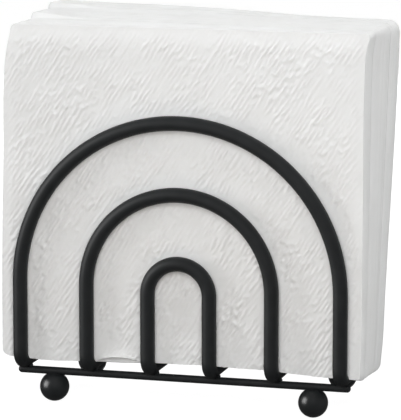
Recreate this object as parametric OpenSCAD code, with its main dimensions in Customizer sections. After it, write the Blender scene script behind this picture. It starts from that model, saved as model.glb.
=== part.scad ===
// Upright tabletop napkin holder.
// Bent steel wire frame with three nested arches at the front and three at the rear,
// two thin base rails, four ball feet, and a stack of folded paper napkins.
// Millimetres. X runs across the holder, Y from front to rear, Z up.
// The origin is on the table, under the middle of the frame.

/* [Arches] */
// Diameter of the wire that the arches are bent from, over its powder coat
wire_d = 6.5; // [5:0.05:7]
// Centreline radius of the outer arches
outer_arch_r = 73.025; // [68:0.005:80]
// Centreline radius of the middle arches
middle_arch_r = 42.2; // [36:0.1:48]
// Centreline radius of the inner arches
inner_arch_r = 14.05; // [12:0.05:20]
// Height above the table where the outer arches leave their straight legs
outer_spring_z = 55.6; // [45:0.1:75]
// Height above the table where the middle arches leave their straight legs
middle_spring_z = 54.8; // [45:0.1:75]
// Height above the table where the inner arches leave their straight legs
inner_spring_z = 52.4; // [45:0.1:75]
// Distance between the front arches and the rear arches, centre to centre
slot_depth = 69.85; // [66:0.05:90]
// Centreline radius of the bend at the foot of each leg
bend_r = 5.2; // [4.5:0.1:9]

/* [Rails and feet] */
// Diameter of the rails under the base wires, over their powder coat
rail_d = 3.4; // [2.5:0.1:4]
// Distance that each rail runs past the outer legs' centrelines
rail_overhang = 3.3; // [1:0.1:6]
// Distance of each rail's centre behind the centre of its arches
rail_inset = 6.9; // [6.5:0.1:12]
// Radius that the rail ends are rounded to
rail_round = 1.6; // [0.2:0.1:1.6]
// Diameter of the ball feet
foot_d = 13.2; // [11:0.1:16]
// Distance of the ball feet from the middle of the holder
foot_x = 59.5; // [50:0.5:66]

/* [Welds] */
// Depth that each base wire is sunk into the rails
wire_sink = 0.5; // [0.1:0.05:0.8]
// Depth that each rail is sunk into the ball feet
foot_sink = 1.2; // [0.4:0.05:2]
// Diameter of the beads beside each base wire
bead_d = 1.9; // [1.8:0.1:3]
// Diameter of the butt welds in the middle of the base wires
seam_d = 6.7; // [6.6:0.05:7.2]
// Length of the butt welds
seam_l = 1.6; // [1:0.1:4]

/* [Napkins] */
// Width of a folded napkin
napkin_w = 163; // [140:1:180]
// Height of a folded napkin
napkin_h = 150; // [120:1:170]
// Thickness of a folded napkin's four plies pressed together
napkin_t = 0.3; // [0.2:0.05:0.5]
// Distance from one napkin to the next at the bottom of the stack
napkin_pitch = 0.82; // [0.7:0.01:1]
// Number of napkins in each of the six packs behind the first two napkins
pack_count = 8; // [4:1:9]
// Angle in degrees that the last napkin leans back from the first one
stack_lean = 3; // [0:0.1:3]
// Gap between the front arches and the first napkin
front_gap = 0.7; // [0.3:0.05:2]
// Gap between the butt welds and the napkins that stand above them
base_gap = 0.05; // [0.02:0.01:0.5]

/* [Hidden] */
wire_r = wire_d / 2;
rail_r = rail_d / 2;
foot_r = foot_d / 2;
arch_y = slot_depth / 2;
rail_y = arch_y - rail_inset;
rail_z = foot_d - foot_sink + rail_r;
base_z = rail_z + rail_r + wire_r - wire_sink;
bend_y = -arch_y + bend_r;
bend_z = base_z + bend_r;
bend_inner_r = bend_r - wire_r;
rail_half = outer_arch_r + rail_overhang;
leg_x = [outer_arch_r, middle_arch_r, inner_arch_r];
// A bead sits in the corner between a base wire's side and the rail's top.
bead_x = wire_r * 0.76;
bead_z = rail_z + rail_r + 0.35;
stack_y = -arch_y + wire_r + front_gap;
stack_z = base_z + seam_d / 2 + base_gap;
first_pack = 2;
last_napkin = first_pack + 6 * pack_count - 1;
lean_step = stack_lean / last_napkin;
dent_gap = 0.15;
dent_w = wire_d + 2 * dent_gap;
steel = [0.08, 0.08, 0.09];
tissue = [0.94, 0.94, 0.93];
$fn = 64;

// ---- wire frame ----

// Half circle of wire standing on its two springing points.
module arch_wire(r, spring_z) {
    translate([0, -arch_y, spring_z])
        rotate([90, 0, 0])
            rotate_extrude(angle = 180)
                translate([r, 0])
                    circle(d = wire_d);
}

// Straight leg, bend towards the rear, and the base wire's front half.
module leg_wire(x, spring_z) {
    translate([x, -arch_y, bend_z])
        cylinder(d = wire_d, h = spring_z - bend_z);
    translate([x, -arch_y + bend_r, bend_z])
        rotate([90, 0, 90])
            rotate_extrude(angle = 90, start = 180)
                translate([bend_r, 0])
                    circle(d = wire_d);
    translate([x, -arch_y + bend_r, base_z])
        rotate([-90, 0, 0])
            cylinder(d = wire_d, h = arch_y - bend_r - seam_l / 2);
}

// One bent wire: arch, two legs and two base wires that end at the seams.
module bent_arch(r, spring_z) {
    color(steel) {
        arch_wire(r, spring_z);
        for (side = [-1, 1])
            leg_wire(side * r, spring_z);
    }
}

module front_outer_arch() bent_arch(outer_arch_r, outer_spring_z);
module front_middle_arch() bent_arch(middle_arch_r, middle_spring_z);
module front_inner_arch() bent_arch(inner_arch_r, inner_spring_z);
module rear_outer_arch() mirror([0, 1, 0]) front_outer_arch();
module rear_middle_arch() mirror([0, 1, 0]) front_middle_arch();
module rear_inner_arch() mirror([0, 1, 0]) front_inner_arch();

// Rounded corner of the rail's outline at the end that faces the given direction.
function rail_corner(end) = [
    for (turn = [0 : 15 : 90])
        [
            rail_r - rail_round * (1 - cos(turn)),
            end * (rail_half - rail_round * (1 - sin(turn)))
        ]
];

function reversed(points) = [for (i = [len(points) - 1 : -1 : 0]) points[i]];

// Plain rail with rounded ends, lying along X.
module rail_rod() {
    outline = concat(
        [[0, rail_half], [0, -rail_half]],
        reversed(rail_corner(-1)),
        rail_corner(1)
    );
    translate([0, -rail_y, rail_z])
        rotate([0, 90, 0])
            rotate_extrude()
                polygon(outline);
}

// Rail with a shallow seat under each base wire.
module front_rail() {
    color(steel)
        difference() {
            rail_rod();
            for (x = leg_x, side = [-1, 1])
                leg_wire(side * x, inner_spring_z);
        }
}

module rear_rail() mirror([0, 1, 0]) front_rail();

// Ball foot with a seat for the rail that is welded into its top.
module ball_foot(side_x, side_y) {
    color(steel)
        difference() {
            translate([side_x * foot_x, side_y * rail_y, foot_r])
                sphere(d = foot_d);
            translate([side_x * foot_x - foot_d, side_y * rail_y, rail_z])
                rotate([0, 90, 0])
                    cylinder(d = rail_d, h = 2 * foot_d);
        }
}

module front_left_foot() ball_foot(-1, -1);
module front_right_foot() ball_foot(1, -1);
module rear_left_foot() ball_foot(-1, 1);
module rear_right_foot() ball_foot(1, 1);

// ---- welds ----

// Bead on the rail beside the bent wire at x, on the side given as -1 or 1.
module crossing_bead(x, side) {
    difference() {
        translate([x + side * bead_x, -rail_y, bead_z])
            sphere(d = bead_d);
        leg_wire(x, inner_spring_z);
        rail_rod();
    }
}

// Every wire has a bead on both sides, but the rail ends under the outermost wires.
module front_rail_welds() {
    color(steel)
        for (end = [-1, 1]) {
            for (x = leg_x)
                crossing_bead(end * x, -end);
            for (x = [middle_arch_r, inner_arch_r])
                crossing_bead(end * x, end);
        }
}

module rear_rail_welds() mirror([0, 1, 0]) front_rail_welds();

// Butt welds that close each front and rear wire into one loop.
module seam_welds() {
    color(steel)
        for (x = leg_x, side = [-1, 1])
            translate([side * x, -seam_l / 2, base_z])
                rotate([-90, 0, 0])
                    cylinder(d = seam_d, h = seam_l);
}

// ---- napkins ----

// Height that the bends at the feet of the legs reach above a napkin's lower edge.
// Napkins behind the bends stand on the straight base wires and meet no bend.
function bend_reach(index) =
    let (from_bend = stack_y + index * napkin_pitch - bend_y)
        from_bend > 0 ? 0 :
            bend_z - sqrt(pow(bend_inner_r, 2) - pow(from_bend, 2)) - stack_z;

// Cutter for the dents, in the napkin's own frame.
module leg_dents(height) {
    for (x = leg_x, side = [-1, 1])
        translate([napkin_w / 2 + side * x - dent_w / 2, -napkin_t, -napkin_t])
            cube([dent_w, 3 * napkin_t, height + napkin_t]);
}

// One quarter-folded napkin, counted from the front, leaning back with the stack.
module folded_napkin(index) {
    translate([-napkin_w / 2, stack_y + index * napkin_pitch, stack_z])
        rotate([-index * lean_step, 0, 0])
            difference() {
                cube([napkin_w, napkin_t, napkin_h]);
                if (bend_reach(index) > 0)
                    leg_dents(bend_reach(index) + dent_gap);
            }
}

module napkin_pack(number) {
    start = first_pack + (number - 1) * pack_count;
    color(tissue)
        for (index = [start : start + pack_count - 1])
            folded_napkin(index);
}

module front_napkin() color(tissue) folded_napkin(0);
module second_napkin() color(tissue) folded_napkin(1);
module napkin_pack_1() napkin_pack(1);
module napkin_pack_2() napkin_pack(2);
module napkin_pack_3() napkin_pack(3);
module napkin_pack_4() napkin_pack(4);
module napkin_pack_5() napkin_pack(5);
module napkin_pack_6() napkin_pack(6);

front_outer_arch();
front_middle_arch();
front_inner_arch();
rear_outer_arch();
rear_middle_arch();
rear_inner_arch();
front_rail();
rear_rail();
front_left_foot();
front_right_foot();
rear_left_foot();
rear_right_foot();
front_rail_welds();
rear_rail_welds();
seam_welds();
front_napkin();
second_napkin();
napkin_pack_1();
napkin_pack_2();
napkin_pack_3();
napkin_pack_4();
napkin_pack_5();
napkin_pack_6();
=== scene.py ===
import math

import bpy
import numpy as np
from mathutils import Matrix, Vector


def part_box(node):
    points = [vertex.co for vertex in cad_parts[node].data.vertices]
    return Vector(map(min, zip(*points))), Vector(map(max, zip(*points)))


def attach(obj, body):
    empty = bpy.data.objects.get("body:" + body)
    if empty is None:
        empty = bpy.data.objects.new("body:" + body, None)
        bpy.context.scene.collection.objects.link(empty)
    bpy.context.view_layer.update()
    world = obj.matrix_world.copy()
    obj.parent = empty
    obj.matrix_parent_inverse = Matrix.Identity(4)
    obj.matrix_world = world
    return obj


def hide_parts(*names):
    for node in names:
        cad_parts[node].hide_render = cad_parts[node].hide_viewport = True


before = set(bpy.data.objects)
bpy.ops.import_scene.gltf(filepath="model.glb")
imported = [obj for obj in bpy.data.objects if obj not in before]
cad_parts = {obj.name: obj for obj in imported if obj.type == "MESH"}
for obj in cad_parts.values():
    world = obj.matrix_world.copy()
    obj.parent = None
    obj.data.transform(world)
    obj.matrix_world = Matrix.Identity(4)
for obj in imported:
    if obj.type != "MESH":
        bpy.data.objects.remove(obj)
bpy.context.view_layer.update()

# Looks of the wire napkin holder and its stack of quarter-folded paper napkins.
# Lengths inside this file are millimetres, in the frame of the CAD model:
# X across the holder, Y from front to rear, Z up from the table.
MM = 0.001


def node_box(name):
    """Lowest and highest corners of a CAD node, in millimetres."""
    low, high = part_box(name)
    return np.array(low) / MM, np.array(high) / MM


# ---- sizes, as in the part's source or taken from the frame ----

WIRE_D = 6.5
WIRE_R = WIRE_D / 2
# Centreline radius of the bend between a leg and its base wire.
BEND_R = 5.2
ARCHES = ("outer", "middle", "inner")
FRONT_ARCHES = [f"front_{size}_arch" for size in ARCHES]
REAR_ARCHES = [f"rear_{size}_arch" for size in ARCHES]

arch_low, arch_high = zip(*[node_box(name) for name in FRONT_ARCHES])
ARCH_RADII = [high[0] - WIRE_R for high in arch_high]
SPRING_Z = [high[2] - WIRE_R - r for high, r in zip(arch_high, ARCH_RADII)]
ARCH_Y = arch_low[0][1] + WIRE_R
BEND_Y = ARCH_Y + BEND_R
BEND_Z = arch_low[0][2] + WIRE_R + BEND_R
WIRE_XS = sorted([side * r for r in ARCH_RADII for side in (-1, 1)])
BASE_WIRE_Z = arch_low[0][2] + WIRE_R

first_low, first_high = node_box("front_napkin")
second_low = node_box("second_napkin")[0]
NAPKIN_W = first_high[0] - first_low[0]
NAPKIN_H = first_high[2] - first_low[2]
PITCH = second_low[1] - first_low[1]
FRONT_Y = (first_low[1] + first_high[1]) / 2
# Usual height of the napkins' lower edges, and their clearance above a base wire.
EDGE_Z = 20.0
CLEAR = 0.12

# ---- the napkins ----

PACKS = 6
PACK_COUNT = 8
NAPKINS = 2 + PACKS * PACK_COUNT
LAST = NAPKINS - 1
# Distance between the middles of two plies, and the thickness of one.
PLY_GAP = 0.19
PLY_THICKNESS = 0.13
INNER_FOLD_R = PLY_GAP / 2
OUTER_FOLD_R = PLY_GAP
FOLD_REACH = OUTER_FOLD_R + INNER_FOLD_R
FLAT_W = 2 * NAPKIN_W
FLAT_H = 2 * NAPKIN_H
# Faces of the mesh round a fold, and across the embossed plies.
FOLD_STEPS = 5
DENSE_STEP = 0.5
# Spacing of the mesh where nothing is embossed, across and up.
COARSE_STEPS = (12.0, 11.0)

# Embossing: its depth, the rows' pitch and slant, and how far from a wire's centreline
# the tissue begins to stand up and stands up fully.
EMBOSS_MM = 0.76
ROW_PITCH = 1.9
ROW_SLANT = math.radians(57)
PRESSED_FLAT, PRESSED_FREE = 3.5, 6.5
# The rows' wander in pitches, their usual height and how much it varies along them,
# the grain that roughens them, and the heights at which a stroke begins and is full.
ROW_WANDER = 0.45
ROW_HEIGHT, ROW_BREAKS = 0.45, 0.5
STROKE_GRAIN = 0.75
STROKE_FOOT, STROKE_TOP = -0.35, 0.6
# Usual strength of a stroke, and how much it varies by patches.
USUAL_STROKE, PATCHINESS = 0.6, 0.4
# Least share of the embossing under a wire, and the share lost at a napkin's edges.
PRESSED_SHARE = 0.35
EDGE_LOSS = 0.7
# Widths of the bands along the top and side edges that bend back, how far they bend,
# and how many napkins the bend dies away over.
TOP_BAND, SIDE_BAND = 11, 7
TOP_BEND, SIDE_BEND = 1.1, 0.8
BEND_NAPKINS = 8
# The curled lower edge of the front ply: height, half width, fade upwards, the
# forward share of its height, and the power that broadens its hump.
LIP_HEIGHT = 3.0
LIP_HALF_WIDTH = 10.5
LIP_FADE = 3.2
LIP_FORWARD = 0.8
LIP_POWER = 0.8
# How quickly the dent of a base wire in a napkin's lower edge fades upwards.
DENT_FADE = 3.5
# Range of a fold's cosine over which a ply changes from outer to hidden.
PLY_BLEND = (0.2, 0.9)
# Distances from a wire where the front face begins to wave and waves fully, the share
# of the waves that is left beside a wire, and the heights over which they calm down.
WAVES_HELD, WAVES_FREE = 4.0, 13.0
HELD_SHARE = 0.15
CALM_FROM, CALM_TO, CALMED = 40, 120, 0.6
# Share of the patches in the front waves, how far the waves are set back, and the
# height of the rear face's waves.
PATCH_SHARE, WAVES_BACK, REAR_WAVES = 0.55, 0.4, 0.5
# X of the folds at the right, near the lower edge.
FOLD_X = 80.8

rng = np.random.default_rng(11)


def smooth(low, high, value):
    """Smooth step from 0 at low to 1 at high."""
    t = np.clip((value - low) / (high - low), 0, 1)
    return t * t * (3 - 2 * t)


class SoftNoise:
    """Smooth seeded noise over a plane, about -1 to 1, with cells of the given size."""

    CELLS = 96
    # Cell at the frame's origin, so that the holder lies well inside the grid.
    START = (40, 20)

    def __init__(self, cell_x, cell_z, seed):
        self.cell = (cell_x, cell_z)
        size = (self.CELLS, self.CELLS)
        self.grid = np.random.default_rng(seed).uniform(-1, 1, size)

    def __call__(self, x, z):
        u = np.asarray(x) / self.cell[0] + self.START[0]
        v = np.asarray(z) / self.cell[1] + self.START[1]
        i, j = np.floor(u).astype(int), np.floor(v).astype(int)
        fu, fv = smooth(0, 1, u - i), smooth(0, 1, v - j)
        g, n = self.grid, self.CELLS
        near = g[i % n, j % n] * (1 - fu) + g[(i + 1) % n, j % n] * fu
        far = g[i % n, (j + 1) % n] * (1 - fu) + g[(i + 1) % n, (j + 1) % n] * fu
        return near * (1 - fv) + far * fv


# Waves of the front and rear faces.
broad_front = SoftNoise(24, 40, 3)
patch_front = SoftNoise(11, 17, 4)
broad_rear = SoftNoise(26, 36, 5)
# Parts of the embossing: patches, grain, wander of the rows and breaks along them.
emboss_depth = SoftNoise(9, 9, 6)
stroke_noise = SoftNoise(1.0, 1.9, 7)
row_wobble = SoftNoise(6, 11, 8)
stroke_length = SoftNoise(1.8, 3.4, 9)


def wire_distance(x, z):
    """Distance of a point of the front plane from the nearest front wire's centreline."""
    nearest = np.full(np.shape(x), 1e3)
    for radius, spring in zip(ARCH_RADII, SPRING_Z):
        round_part = np.abs(np.hypot(x, z - spring) - radius)
        straight_part = np.abs(np.abs(x) - radius)
        nearest = np.minimum(nearest, np.where(z > spring, round_part, straight_part))
    return nearest


def embossing(x, z):
    """Height, 0 to 1, of the short slanted strokes that stand up from the tissue."""
    along = x * math.cos(ROW_SLANT) + z * math.sin(ROW_SLANT)
    across = x * math.sin(ROW_SLANT) - z * math.cos(ROW_SLANT)
    row = across / ROW_PITCH + ROW_WANDER * row_wobble(across, along)
    height = ROW_HEIGHT + ROW_BREAKS * stroke_length(across, along)
    rows = height * np.cos(2 * math.pi * row)
    strokes = rows + STROKE_GRAIN * stroke_noise(across, along)
    strength = USUAL_STROKE + PATCHINESS * emboss_depth(x, z)
    return smooth(STROKE_FOOT, STROKE_TOP, strokes) * strength


def smooth_curve(value, points):
    """Smooth curve through a few (place, height) points, level beyond the ends."""
    places, heights = (np.array(column, float) for column in zip(*points))
    slopes = np.gradient(heights, places)
    slopes[[0, -1]] *= 0.5
    value = np.clip(value, places[0], places[-1])
    i = np.clip(np.searchsorted(places, value, side="right") - 1, 0, len(places) - 2)
    step = places[i + 1] - places[i]
    t = (value - places[i]) / step
    rise = heights[i] * (1 + 2 * t) * (1 - t) ** 2 + heights[i + 1] * t * t * (3 - 2 * t)
    return rise + step * t * (1 - t) * (slopes[i] * (1 - t) - slopes[i + 1] * t)


# X of the side edges at a share of the height, for the first and the last napkin.
LEFT_EDGE = ((0, -82.9), (0.2, -82.9), (0.6, -81.8), (0.9, -80.4), (1, -78.0))
FRONT_RIGHT = ((0, 81.0), (0.1, 81.4), (0.5, 81.8), (0.85, 81.9), (0.94, 82.4), (1, 84.0))
REAR_RIGHT = ((0, 81.0), (0.08, 82.0), (0.2, 82.6), (0.5, 84.2), (0.85, 85.7), (1, 85.9))
# Z of the lower edge across the holder: it droops between the wires and at the ends.
FRONT_LOWER = ((-83, 20.3), (-70, 19.4), (-46, 19.5), (-23, 20.1), (0, 20.9),
               (20, 20.7), (38, 20.4), (50, 19.6), (67, 18.8), (81, 18.5))
REAR_LOWER = ((-83, 19.6), (-58, 19.3), (-28, 19.7), (0, 20.0),
              (28, 19.6), (58, 19.2), (75, 18.4), (81, 14.6), (85, 14.0))
# Z of the upper edge across the holder.
FRONT_UPPER = ((-80, 169.2), (0, 169.6), (84, 169.8))
REAR_UPPER = ((-80, 172.6), (-50, 173.6), (0, 172.8), (50, 170.8), (84, 170.4))
# How much deeper the stack is at its top, across the holder, and how the depth grows.
FAN_TOP = ((-80, 14.5), (-20, 15.0), (84, 11.7))
FAN_POWER = 1.35
# The stack holds three bundles that were pushed in one after another.
BUNDLE_STARTS = (0.0, 0.25, 0.71, 1.02)


def bundle_place(s):
    """The bundle that a napkin at depth s, 0 to 1, belongs to, and its place in it."""
    number = int(np.searchsorted(BUNDLE_STARTS, s, side="right")) - 1
    start, end = BUNDLE_STARTS[number], BUNDLE_STARTS[number + 1]
    return number, (s - start) / (end - start)


def above_wires(x, face_y):
    """Lowest Z at which a napkin's edge clears the base wires, or their front bends."""
    gap = np.min(np.abs(np.subtract.outer(x, np.array(WIRE_XS))), axis=-1)
    half = np.sqrt(np.maximum(WIRE_R**2 - gap**2, 0))
    inner = BEND_R - half
    reach = min(face_y - BEND_Y, 0)
    bend = BEND_Z - np.sqrt(np.maximum(inner**2 - reach**2, 0))
    top = np.maximum(BASE_WIRE_Z + half, bend) + CLEAR
    return np.where(gap < WIRE_R, top, 0.0)


class Placement:
    """Where one napkin's outline and surface lie in the stack."""

    def __init__(self, index):
        self.s = index / LAST
        number, t = bundle_place(self.s)
        wander = rng.uniform(-1, 1, 8) * (index > 0)
        # The free edges at the left are set back by bundle, and are the least even.
        set_back = (4.6 * smooth(0, 1, t), 5.6 - 0.8 * t, 5.4 - 1.2 * t)[number]
        self.set_back = (set_back, 0.3 * set_back + 0.35 * wander[0], 0.3 * wander[1])
        # The folds at the right bulge out at the middle of each bundle.
        bulge = math.sqrt(max(0.0, math.sin(math.pi * t)))
        self.right_shift = 0.55 * bulge - 0.25 * (index > 0) + 0.05 * wander[2]
        # The upper edge stands higher at the left, most at the front of a bundle.
        self.raised = (0.5 * t, 3.7 - 3.2 * t, 3.6 - 2.4 * t)[number] + 0.1 * wander[4]
        self.turned = 0.06 * wander[3]
        self.upper_shift = 0.18 * wander[5]
        self.width_split = 0.45 * wander[6]
        self.height_split = 0.22 * wander[7]
        self.face_y = FRONT_Y + index * PITCH - FOLD_REACH - PLY_THICKNESS / 2

    def sides(self, q):
        """X of the left and right edges at a share q of the height."""
        upper = smooth(0.55, 1.0, q)
        left = smooth_curve(q, LEFT_EDGE)
        left = left + self.set_back[1] + (self.set_back[0] - self.set_back[1]) * upper
        front = smooth_curve(q, FRONT_RIGHT)
        rear = smooth_curve(q, REAR_RIGHT)
        depth = smooth(0, 1, self.s)
        right = front + (rear - front) * depth + self.right_shift
        return left + self.set_back[2], right + self.turned * (q - 0.5)

    def lower(self, x):
        """Z of the lower edge between the base wires."""
        share = self.s**0.6
        edge = smooth_curve(x, FRONT_LOWER) * (1 - share)
        edge = edge + smooth_curve(x, REAR_LOWER) * share
        ripple = 0.25 * np.sin(x / 9.0 + 11 * self.s) * smooth(0, 0.2, self.s)
        return edge + ripple

    def upper(self, x):
        """Z of the upper edge."""
        edge = smooth_curve(x, FRONT_UPPER) * (1 - self.s)
        edge = edge + smooth_curve(x, REAR_UPPER) * self.s
        left = 1 - smooth(-80, -38, x)
        return edge + self.raised * left + self.upper_shift

    def outline(self, across, up):
        """World X and Z of a point of the folded napkin. A base wire dents its edge."""
        across, up = round_corners(across, up, self.s)
        q = up / NAPKIN_H
        left, right = self.sides(q)
        x = left + (right - left) * across / NAPKIN_W
        low, high = self.lower(x), self.upper(x)
        over = np.maximum(above_wires(x, self.face_y) - low, 0)
        z = low + (high - low) * q
        return x, z + over * np.exp(-np.maximum(up, 0) / DENT_FADE)

    def surface(self, x, z):
        """World Y of the napkin's middle, and how far the plies are spread."""
        q = np.clip((z - EDGE_Z) / NAPKIN_H, 0, 1.1)
        fan_top = smooth_curve(x, FAN_TOP)
        depth = LAST * PITCH + fan_top * q**FAN_POWER
        y = FRONT_Y + self.s * depth
        # The front face waves between the wires, less near them and less at the top.
        free = smooth(WAVES_HELD, WAVES_FREE, wire_distance(x, z))
        low = 1 - CALMED * smooth(CALM_FROM, CALM_TO, z)
        front = broad_front(x, z) + patch_front(x, z) * PATCH_SHARE - WAVES_BACK
        front = front * (HELD_SHARE + (1 - HELD_SHARE) * free) * low
        rear = broad_rear(x, z) * REAR_WAVES
        y = y + (1 - self.s) ** 3 * front + self.s**3 * rear
        return y, depth / (LAST * PITCH)


def round_corners(across, up, s):
    """Moves points near the corners inwards, onto rounded corners."""
    radii = {
        (0, 0): 3.2,
        (1, 0): 1.0 + 1.2 * s,
        (0, 1): 2.0,
        (1, 1): 2.0 + 3.5 * s,
    }
    for (right, top), radius in radii.items():
        from_side = NAPKIN_W - across if right else across
        from_end = NAPKIN_H - up if top else up
        a = np.clip(1 - from_side / radius, 0, 1)
        c = np.clip(1 - from_end / radius, 0, 1)
        pull_a = radius * a * (1 - np.sqrt(1 - c * c / 2))
        pull_c = radius * c * (1 - np.sqrt(1 - a * a / 2))
        across = across - pull_a if right else across + pull_a
        up = up - pull_c if top else up + pull_c
    return across, up


def stations(length, fold_at, radius, near, far):
    """Places along a strip that is folded once. near and far are distances from the
    fold on the first and the second half; both free ends are added."""
    arc = math.pi * radius
    start, end = fold_at - arc / 2, fold_at + arc / 2
    first = start - near[near < start - 0.05][::-1]
    second = end + far[far < length - end - 0.05]
    bend = np.linspace(start, end, FOLD_STEPS + 1)
    places = np.concatenate([[0.0], first, bend, second, [length]])
    return np.unique(np.round(places, 6))


def folded(place, fold_at, radius):
    """Distance along the face from the fold's centre, and the angle round the fold."""
    arc = math.pi * radius
    before = np.minimum(place - (fold_at - arc / 2), 0)
    after = np.maximum(place - (fold_at + arc / 2), 0)
    angle = np.clip((place - (fold_at - arc / 2)) / radius, 0, math.pi)
    return before - after, angle


def coarse_distances(size, marks, step):
    """Distances from the fold with extra ones at marks, about step apart elsewhere."""
    even = np.arange(step, size, step)
    near_edge = np.array([0.35, 1.0, 2.2, 4.0])
    ends = size - np.array([4.0, 2.0, 0.8])
    every = np.sort(np.concatenate([even, near_edge, ends, marks]))
    keep = [every[0]]
    for value in every[1:]:
        if value - keep[-1] > 0.3:
            keep.append(value)
    return np.array(keep)


def wire_marks():
    """Distances from the right-hand fold where the lower edge needs more points."""
    fold_x = FOLD_X - FOLD_REACH
    one_side = np.array([1.0, 1.9, 2.8, 4.0, 6.5])
    steps = np.concatenate([-one_side[::-1], [0.0], one_side])
    marks = np.concatenate([fold_x - x + steps for x in WIRE_XS])
    return marks[(marks > 0.5) & (marks < NAPKIN_W - 1)]


def mesh_from_grid(name, points):
    """Mesh of quads through a grid of points, given in millimetres."""
    rows, columns = points.shape[:2]
    mesh = bpy.data.meshes.new(name)
    ids = np.arange(rows * columns).reshape(rows, columns)
    quads = np.stack([ids[:-1, :-1], ids[1:, :-1], ids[1:, 1:], ids[:-1, 1:]], axis=-1)
    quads = quads.reshape(-1, 4)
    mesh.vertices.add(rows * columns)
    mesh.vertices.foreach_set("co", (points.reshape(-1, 3) * MM).ravel())
    mesh.loops.add(quads.size)
    mesh.loops.foreach_set("vertex_index", quads.ravel())
    mesh.polygons.add(len(quads))
    mesh.polygons.foreach_set("loop_start", np.arange(0, quads.size, 4))
    mesh.polygons.foreach_set("loop_total", np.full(len(quads), 4))
    mesh.polygons.foreach_set("use_smooth", np.ones(len(quads), bool))
    mesh.update()
    mesh.validate()
    return mesh


def lifted_lip(x, up):
    """Height that the front ply's lower edge has curled up, between two legs."""
    middle = (WIRE_XS[1] + WIRE_XS[2]) / 2
    hump = np.clip(1 - ((x - middle) / LIP_HALF_WIDTH) ** 2, 0, 1) ** LIP_POWER
    return LIP_HEIGHT * hump * np.exp(-np.maximum(up, 0) / LIP_FADE)


def edge_closeness(across, up):
    """Closeness, 0 to 1, to a napkin's top edge and to its side edges."""
    top = smooth(NAPKIN_H - TOP_BAND, NAPKIN_H, up)
    right = smooth(NAPKIN_W - SIDE_BAND, NAPKIN_W, across)
    left = smooth(SIDE_BAND, 0, across)
    return top, np.maximum(right, left)


def front_relief(x, z, near_edge):
    """Height of the front face's embossing, lower where a wire presses and at edges."""
    free = smooth(PRESSED_FLAT, PRESSED_FREE, wire_distance(x, z))
    pressed = PRESSED_SHARE + (1 - PRESSED_SHARE) * free
    return EMBOSS_MM * embossing(x, z) * pressed * (1 - EDGE_LOSS * near_edge)


def napkin_points(index, across_places, up_places, folds):
    """Grid of points of one quarter-folded napkin in the stack."""
    place = placements[index]
    fold_w, fold_h = folds
    along, turn = folded(across_places, fold_w, OUTER_FOLD_R)
    rise, flip = folded(up_places, fold_h, INNER_FOLD_R)
    along, rise = np.meshgrid(along, rise, indexing="ij")
    turn, flip = np.meshgrid(turn, flip, indexing="ij")
    layer = -INNER_FOLD_R * np.cos(flip)
    reach = OUTER_FOLD_R - layer
    across = NAPKIN_W - FOLD_REACH + along + reach * np.sin(turn)
    up = NAPKIN_H - INNER_FOLD_R + rise + INNER_FOLD_R * np.sin(flip)
    x, z = place.outline(across, up)
    y, spread = place.surface(x, z)
    outward = -reach * np.cos(turn)
    front_ply = smooth(*PLY_BLEND, np.cos(turn)) * smooth(*PLY_BLEND, np.cos(flip))
    rear_ply = smooth(*PLY_BLEND, -np.cos(turn)) * smooth(*PLY_BLEND, np.cos(flip))
    y = y + outward * spread
    near_top, near_side = edge_closeness(across, up)
    # The front napkins' edges bend back a little, the first napkin's most.
    bend = TOP_BEND * near_top**2 + SIDE_BEND * near_side**2
    y = y + bend * math.exp(-index / BEND_NAPKINS)
    if index == 0:
        y = y - front_relief(x, z, np.maximum(near_top, near_side)) * front_ply
        lip = lifted_lip(x, up) * front_ply
        z = z + lip
        y = y - LIP_FORWARD * lip
    if index == LAST:
        y = y + EMBOSS_MM * embossing(-x, z) * rear_ply
    return np.stack([x, y, z], axis=-1)


placements = {index: Placement(index) for index in range(NAPKINS)}


def napkin_grid(index):
    """Stations and fold places of one napkin."""
    place = placements[index]
    fold_w = FLAT_W / 2 + place.width_split
    fold_h = FLAT_H / 2 + place.height_split
    columns = coarse_distances(NAPKIN_W, wire_marks(), COARSE_STEPS[0])
    rows = coarse_distances(NAPKIN_H, np.array([]), COARSE_STEPS[1])
    dense_columns = np.arange(0.25, NAPKIN_W - 0.2, DENSE_STEP)
    dense_rows = np.arange(0.25, NAPKIN_H - 0.2, DENSE_STEP)
    near_columns = dense_columns if index == 0 else columns
    far_columns = dense_columns if index == LAST else columns
    near_rows = dense_rows if index in (0, LAST) else rows
    across = stations(FLAT_W, fold_w, OUTER_FOLD_R, near_columns, far_columns)
    up = stations(FLAT_H, fold_h, INNER_FOLD_R, near_rows, rows)
    return across, up, (fold_w, fold_h)


def napkin_body(index):
    """Body and CAD node that the napkin at this place in the stack belongs to."""
    if index == 0:
        return "front_napkin"
    if index == 1:
        return "second_napkin"
    return f"napkin_pack_{1 + (index - 2) // PACK_COUNT}"


def make_napkin(index, material):
    """One napkin: a single sheet, folded in half twice, with the thickness of tissue."""
    across, up, folds = napkin_grid(index)
    points = napkin_points(index, across, up, folds)
    name = f"napkin_{index + 1:02d}"
    mesh = mesh_from_grid(name, points)
    mesh.materials.append(material)
    piece = bpy.data.objects.new(name, mesh)
    bpy.context.scene.collection.objects.link(piece)
    solid = piece.modifiers.new("ply thickness", "SOLIDIFY")
    solid.thickness = PLY_THICKNESS * MM
    solid.offset = 0
    solid.use_even_offset = False
    body = napkin_body(index)
    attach(piece, body)
    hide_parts(body)


# ---- materials ----


def new_material(name):
    """Material with an empty node tree apart from its output and a Principled shader."""
    material = bpy.data.materials.new(name)
    material.use_nodes = True
    tree = material.node_tree
    tree.nodes.clear()
    output = tree.nodes.new("ShaderNodeOutputMaterial")
    shader = tree.nodes.new("ShaderNodeBsdfPrincipled")
    tree.links.new(shader.outputs["BSDF"], output.inputs["Surface"])
    return material, tree, shader


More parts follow.
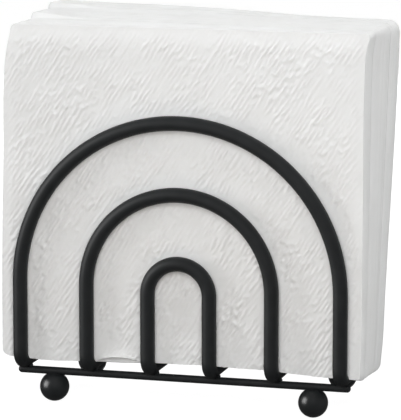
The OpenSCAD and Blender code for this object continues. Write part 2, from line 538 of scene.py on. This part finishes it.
def object_coordinates(tree):
    """Coordinates that stay with the piece."""
    return tree.nodes.new("ShaderNodeTexCoord").outputs["Object"]


def noise(tree, vector, scale, detail=3.0, roughness=0.5):
    """Noise texture in object space; scale is cells per metre."""
    node = tree.nodes.new("ShaderNodeTexNoise")
    node.inputs["Scale"].default_value = scale
    node.inputs["Detail"].default_value = detail
    node.inputs["Roughness"].default_value = roughness
    tree.links.new(vector, node.inputs["Vector"])
    return node.outputs["Fac"]


def ramp(tree, value, stops):
    """Colour ramp; stops are (position, colour) pairs."""
    node = tree.nodes.new("ShaderNodeValToRGB")
    elements = node.color_ramp.elements
    elements[0].position, elements[0].color = stops[0][0], (*stops[0][1], 1)
    elements[1].position, elements[1].color = stops[-1][0], (*stops[-1][1], 1)
    for position, colour in stops[1:-1]:
        elements.new(position).color = (*colour, 1)
    tree.links.new(value, node.inputs["Fac"])
    return node.outputs["Color"]


def value_range(tree, value, low, high):
    """Maps a 0 to 1 value to low to high."""
    node = tree.nodes.new("ShaderNodeMapRange")
    node.inputs["To Min"].default_value = low
    node.inputs["To Max"].default_value = high
    tree.links.new(value, node.inputs["Value"])
    return node.outputs["Result"]


def bump(tree, height, distance, strength, normal=None):
    """Normals bent by a height; the distance is in metres."""
    node = tree.nodes.new("ShaderNodeBump")
    node.inputs["Distance"].default_value = distance
    node.inputs["Strength"].default_value = strength
    tree.links.new(height, node.inputs["Height"])
    if normal is not None:
        tree.links.new(normal, node.inputs["Normal"])
    return node.outputs["Normal"]


def powder_coat(name, smoothest, roughest, shine):
    """Satin black powder coat: fine orange peel and slightly uneven gloss."""
    material, tree, shader = new_material(name)
    place = object_coordinates(tree)
    cloud = noise(tree, place, 160, 2.0)
    peel = noise(tree, place, 1500, 2.0)
    grain = noise(tree, place, 5200, 1.0)
    colour = ramp(tree, cloud, [(0.3, (0.0115, 0.0128, 0.0135)),
                                (0.7, (0.0155, 0.0170, 0.0180))])
    tree.links.new(colour, shader.inputs["Base Color"])
    gloss = value_range(tree, cloud, smoothest, roughest)
    tree.links.new(gloss, shader.inputs["Roughness"])
    shader.inputs["Specular IOR Level"].default_value = shine
    waves = bump(tree, peel, 0.00006, 0.35)
    tree.links.new(bump(tree, grain, 0.00002, 0.25, waves), shader.inputs["Normal"])
    return material


def tissue():
    """White paper tissue: cloudy fibre, a matte face and a fine soft grain."""
    material, tree, shader = new_material("white_tissue")
    place = object_coordinates(tree)
    cloud = noise(tree, place, 55, 4.0, 0.6)
    fibre = noise(tree, place, 1700, 4.0, 0.65)
    colour = ramp(tree, cloud, [(0.25, (0.835, 0.838, 0.832)),
                                (0.75, (0.875, 0.880, 0.878))])
    tree.links.new(colour, shader.inputs["Base Color"])
    tree.links.new(value_range(tree, fibre, 0.86, 0.98), shader.inputs["Roughness"])
    shader.inputs["Specular IOR Level"].default_value = 0.12
    shader.inputs["Sheen Weight"].default_value = 0.06
    shader.inputs["Sheen Roughness"].default_value = 0.6
    tree.links.new(bump(tree, fibre, 0.00005, 0.5), shader.inputs["Normal"])
    return material


def floor_material():
    """Near-white floor that keeps only a faint shadow."""
    material, tree, shader = new_material("pale_floor")
    shader.inputs["Base Color"].default_value = (0.20, 0.20, 0.20, 1)
    shader.inputs["Roughness"].default_value = 0.9
    shader.inputs["Specular IOR Level"].default_value = 0.0
    shader.inputs["Emission Color"].default_value = (1, 1, 1, 1)
    shader.inputs["Emission Strength"].default_value = 0.94
    return material


# ---- stage, light and camera ----


def make_floor():
    """Pale floor that neither lights the holder nor shows in its gloss."""
    mesh = bpy.data.meshes.new("floor")
    half = 8.0
    corners = [(-half, -half, 0), (half, -half, 0), (half, half, 0), (-half, half, 0)]
    mesh.from_pydata(corners, [], [(0, 1, 2, 3)])
    mesh.materials.append(floor_material())
    floor = bpy.data.objects.new("floor", mesh)
    bpy.context.scene.collection.objects.link(floor)
    floor.visible_diffuse = False
    floor.visible_glossy = False


def area_light(name, place, size, power, colour=(1, 1, 1), in_gloss=False,
               in_diffuse=True):
    """Square soft light, size in metres, power in watts, aimed at the holder."""
    light = bpy.data.lights.new(name, "AREA")
    light.shape = "SQUARE"
    light.size = size
    light.energy = power
    light.color = colour
    lamp = bpy.data.objects.new(name, light)
    lamp.location = place
    aim = Vector(LAMP_AIM) - Vector(place)
    lamp.rotation_euler = aim.to_track_quat("-Z", "Y").to_euler()
    lamp.visible_glossy = in_gloss
    lamp.visible_diffuse = in_diffuse
    lamp.visible_camera = False
    bpy.context.scene.collection.objects.link(lamp)
    return lamp


def make_world(horizon, zenith):
    """Soft studio dome that is dimmer towards the horizon."""
    world = bpy.data.worlds.new("studio")
    world.use_nodes = True
    tree = world.node_tree
    background = tree.nodes["Background"]
    background.inputs["Color"].default_value = (1.0, 1.0, 1.0, 1)
    direction = tree.nodes.new("ShaderNodeTexCoord").outputs["Generated"]
    parts = tree.nodes.new("ShaderNodeSeparateXYZ")
    tree.links.new(direction, parts.inputs["Vector"])
    height = value_range(tree, parts.outputs["Z"], horizon, zenith)
    tree.links.new(height, background.inputs["Strength"])
    bpy.context.scene.world = world


# The camera that was fitted to the photo: angles in degrees, lengths in metres.
VIEW_AZIMUTH, VIEW_ELEVATION = 15.72, 9.92
VIEW_DISTANCE, LENS_MM = 1.48081, 283.5
VIEW_AIM = (-0.000585, 0.003434, 0.08405)
LAMP_AIM = (0, 0, 0.08)


def make_camera():
    """Camera from a little to the right of the front and a little above."""
    azimuth, elevation = math.radians(VIEW_AZIMUTH), math.radians(VIEW_ELEVATION)
    aim = Vector(VIEW_AIM)
    level = math.cos(elevation)
    back = Vector((math.sin(azimuth) * level, -math.cos(azimuth) * level,
                   math.sin(elevation)))
    data = bpy.data.cameras.new("camera")
    data.sensor_width = 36
    data.lens = LENS_MM
    data.clip_start = 0.05
    data.clip_end = 60
    camera = bpy.data.objects.new("camera", data)
    camera.location = aim + back * VIEW_DISTANCE
    camera.rotation_euler = (-back).to_track_quat("-Z", "Y").to_euler()
    bpy.context.scene.collection.objects.link(camera)
    bpy.context.scene.camera = camera


def make_lights():
    """Low key from the left for the embossing, one light for gloss only, soft fill."""
    area_light("key", (-1.00, -0.32, 0.26), 0.50, 4.6)
    area_light("glint", (-0.85, -0.50, 0.30), 0.62, 9.0, in_gloss=True, in_diffuse=False)
    area_light("front", (0.14, -0.62, 0.27), 0.40, 2.6)
    area_light("side", (1.10, -0.05, 0.30), 0.80, 4.7)
    area_light("top", (0.0, -0.1, 1.3), 0.80, 5.6)
    area_light("back", (-0.25, 1.00, 0.30), 0.60, 9.0)
    # Warm light from the table top in front of the holder.
    bounce = area_light("bounce", (0.02, -0.20, 0.003), 0.22, 0.045, (1, 0.76, 0.48))
    bounce.rotation_euler = (math.pi, 0, 0)


# ---- build ----

STEEL_NODES = FRONT_ARCHES + REAR_ARCHES + [
    "front_rail", "rear_rail",
    "front_left_foot", "front_right_foot", "rear_left_foot", "rear_right_foot",
    "front_rail_welds", "rear_rail_welds", "seam_welds",
]

make_camera()
make_floor()
make_world(horizon=0.10, zenith=0.26)
make_lights()
bpy.context.scene.view_settings.view_transform = "Standard"

# The coat flows out smoother on the balls than on the wires.
wire_coat = powder_coat("black_powder_coat", smoothest=0.50, roughest=0.58, shine=0.30)
ball_coat = powder_coat("black_powder_coat_on_balls", smoothest=0.27, roughest=0.33,
                        shine=0.50)
for node_name in STEEL_NODES:
    for material_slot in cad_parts[node_name].material_slots:
        material_slot.material = ball_coat if node_name.endswith("_foot") else wire_coat

paper = tissue()
for napkin_index in range(NAPKINS):
    make_napkin(napkin_index, paper)
